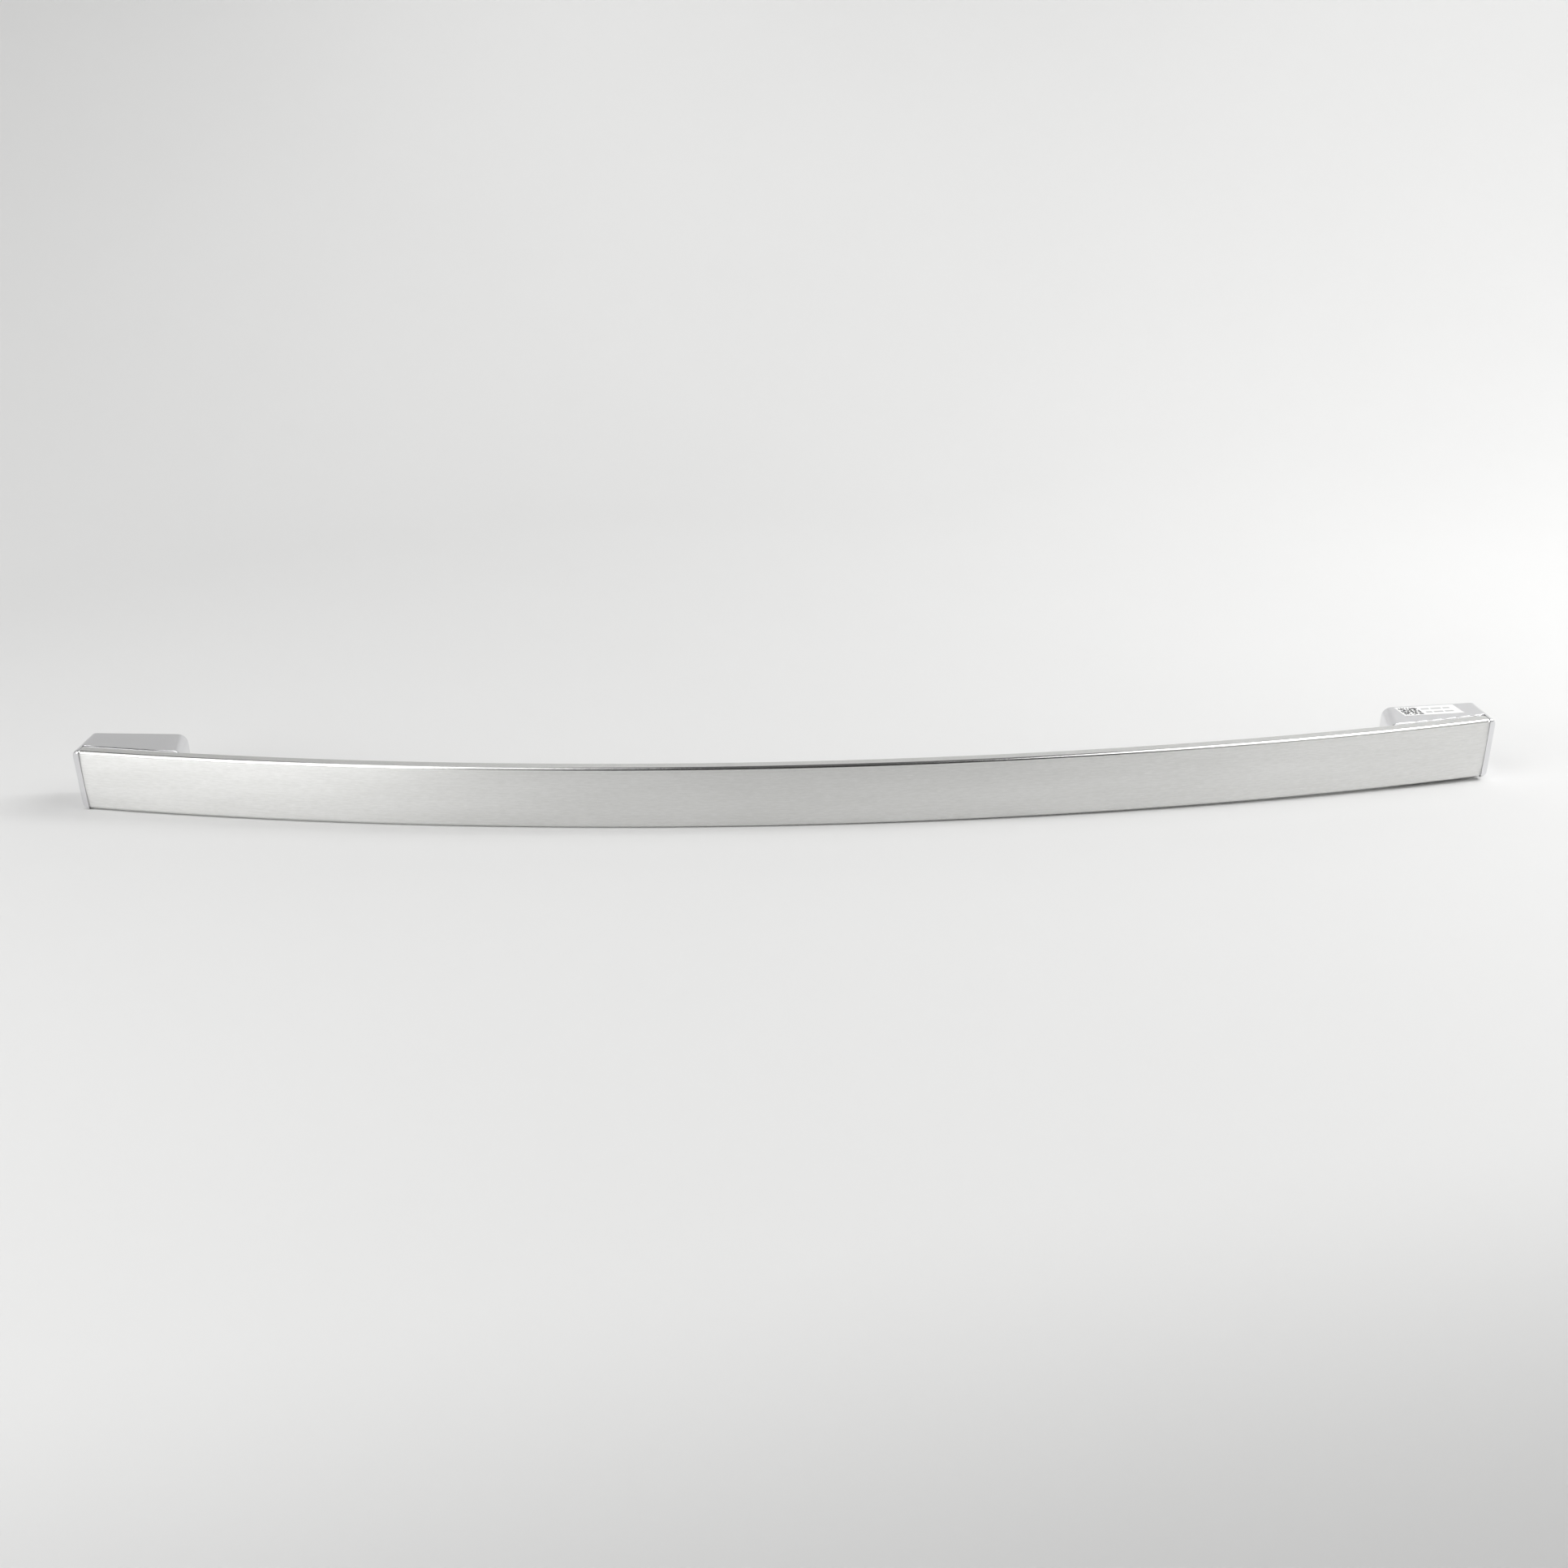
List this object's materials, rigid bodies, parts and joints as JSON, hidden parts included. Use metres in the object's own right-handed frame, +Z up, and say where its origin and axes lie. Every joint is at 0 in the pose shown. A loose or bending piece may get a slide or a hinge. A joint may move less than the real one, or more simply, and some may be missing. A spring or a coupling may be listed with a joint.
{
  "type": "freezer drawer handle",
  "caption": "Long bowed drawer handle: a flat brushed steel tube carried by hollow end posts with stud sockets and set screws behind, for a freezer drawer front.",
  "frame": {"origin": "midway between the axes of the two stud sockets, in the plane of their mouths", "axes": "+X along the handle, to the right as seen by a person facing the drawer; +Y towards the door; +Z up"},
  "size_m": [0.8, 0.0727, 0.0359],
  "materials": {
    "brushed_stainless": "brushed along the length",
    "satin_chrome": "satin chrome",
    "zinc_plated_steel": "bright zinc",
    "black_steel": "black oxide",
    "label_paper": "matte coated"
  },
  "bodies": {
    "root": {"bar_tube": "brushed_stainless", "left_end_post": "satin_chrome", "right_end_post": "satin_chrome", "bar_screws": "zinc_plated_steel", "set_screws": "black_steel", "part_label": "label_paper"}
  },
  "joints": []
}
